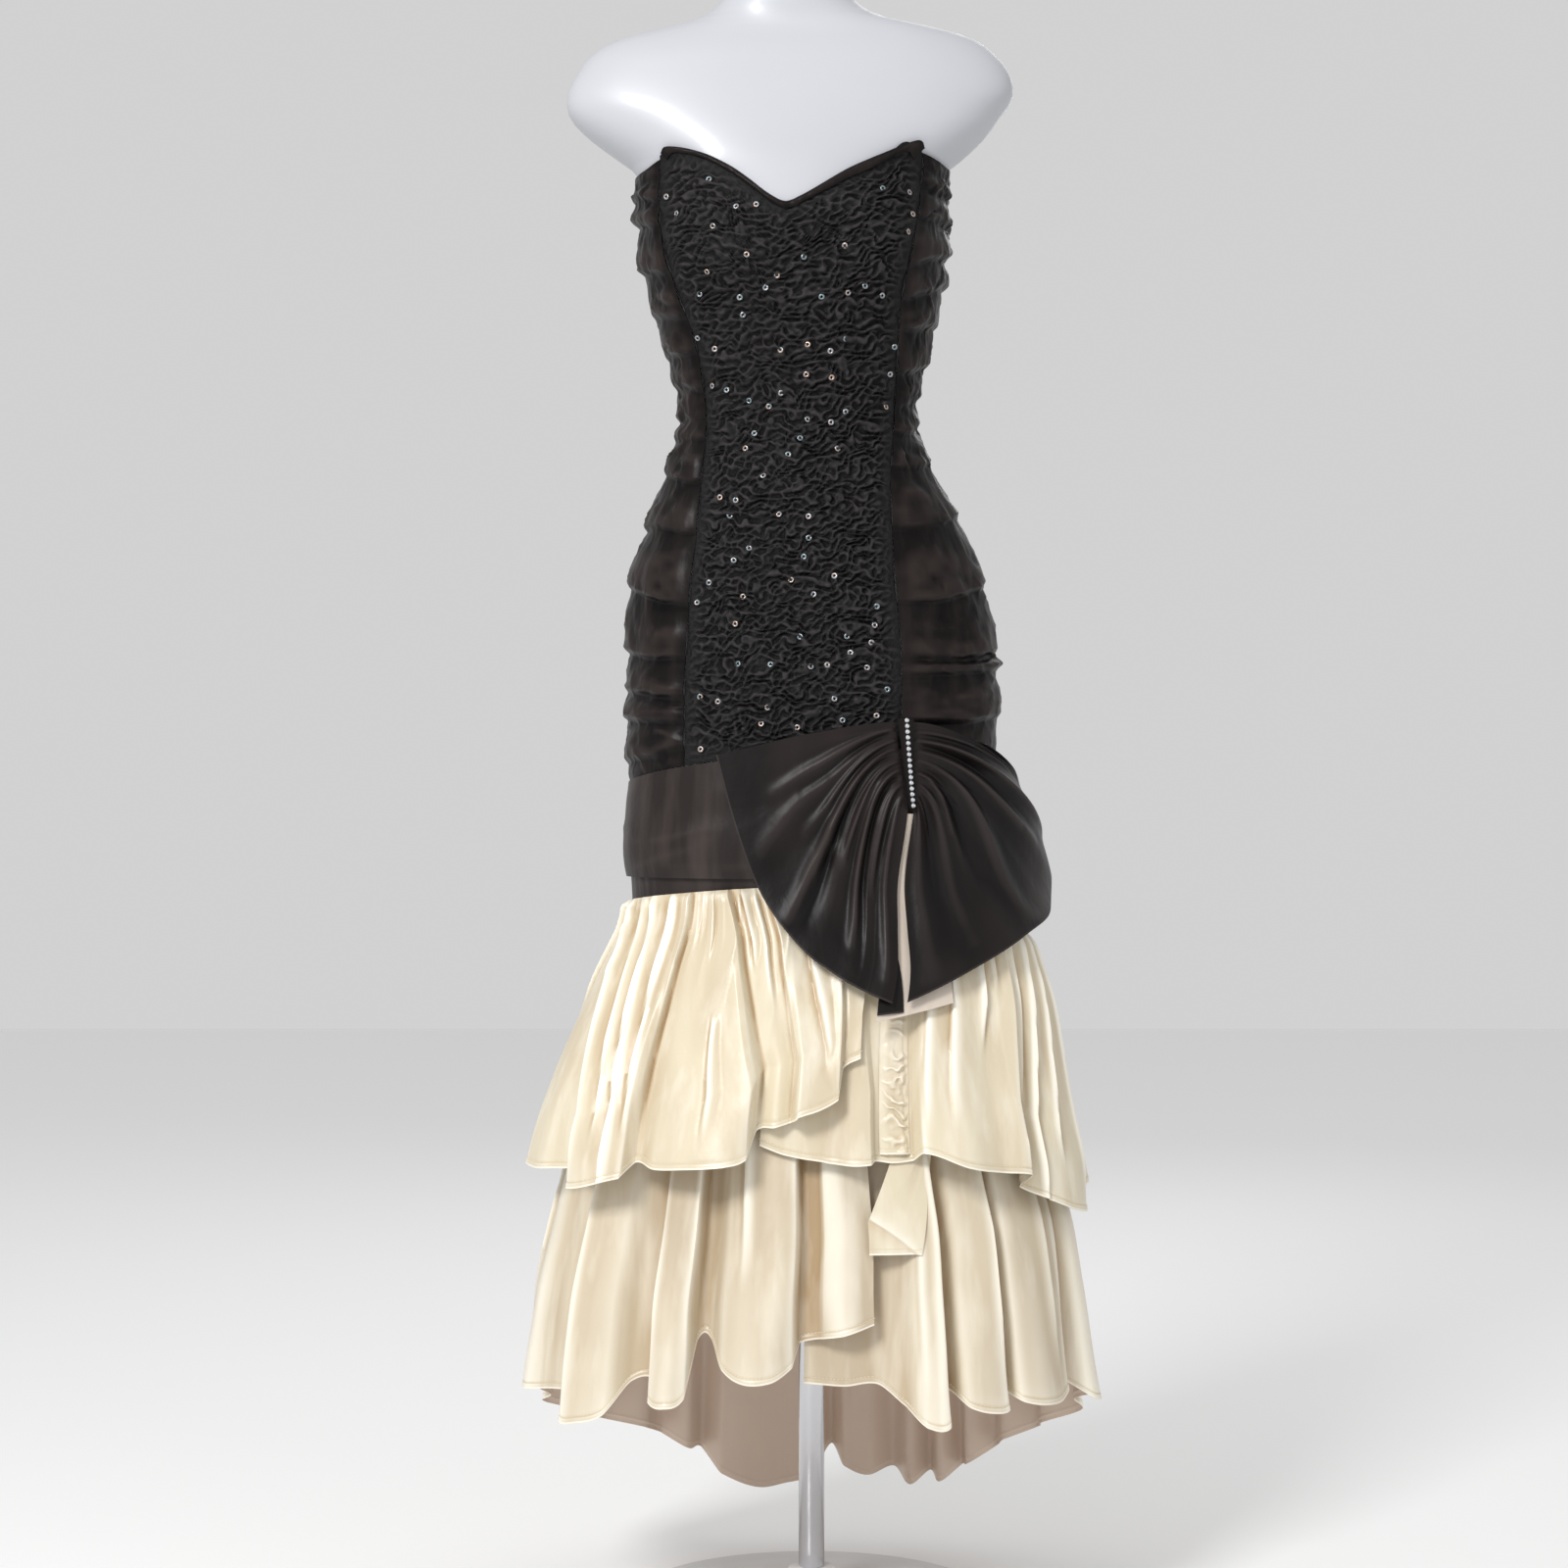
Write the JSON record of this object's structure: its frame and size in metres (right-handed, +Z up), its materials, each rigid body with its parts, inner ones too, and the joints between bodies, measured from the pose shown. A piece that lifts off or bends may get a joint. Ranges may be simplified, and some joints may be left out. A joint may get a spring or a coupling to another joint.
{
  "type": "evening gown on dress form",
  "caption": "Strapless evening gown with a ruched black bodice, fan bow and tiered ivory skirt, worn by a limbless shop form on a pole stand",
  "frame": {"origin": "the point of the floor under the pole, at the middle of the base's underside", "axes": "+Z up, -Y out of the front of the gown, +X to the right of a viewer who faces the front"},
  "size_m": [0.5356, 0.4321, 1.562],
  "materials": {
    "black_satin": "black satin with a soft sheen",
    "black_crinkle": "matte crinkled black fabric with sequins",
    "ivory_satin": "ivory satin with a soft sheen",
    "pale_cloth": "pale matte lining cloth",
    "white_plastic": "glossy white plastic",
    "pole_steel": "bright plated steel tube",
    "base_enamel": "white enamel"
  },
  "bodies": {
    "root": {"neckline_binding": "black_satin", "side_front_left": "black_satin", "side_front_right": "black_satin", "back_left": "black_satin", "back_right": "black_satin", "back_zip": "black_satin", "hip_band": "black_satin", "hip_strip": "black_satin", "bow_wing_left": "black_satin", "bow_wing_right": "black_satin", "bow_knot": "black_satin", "upper_tier_left": "ivory_satin", "upper_tier_right": "ivory_satin", "lower_tier_left": "ivory_satin", "lower_tier_right": "ivory_satin", "shirred_strip": "ivory_satin", "cascade_tail": "ivory_satin", "front_panel": "black_crinkle", "bow_underlay": "pale_cloth", "form_torso": "white_plastic", "stand_pole": "pole_steel", "stand_base": "base_enamel"}
  },
  "joints": []
}
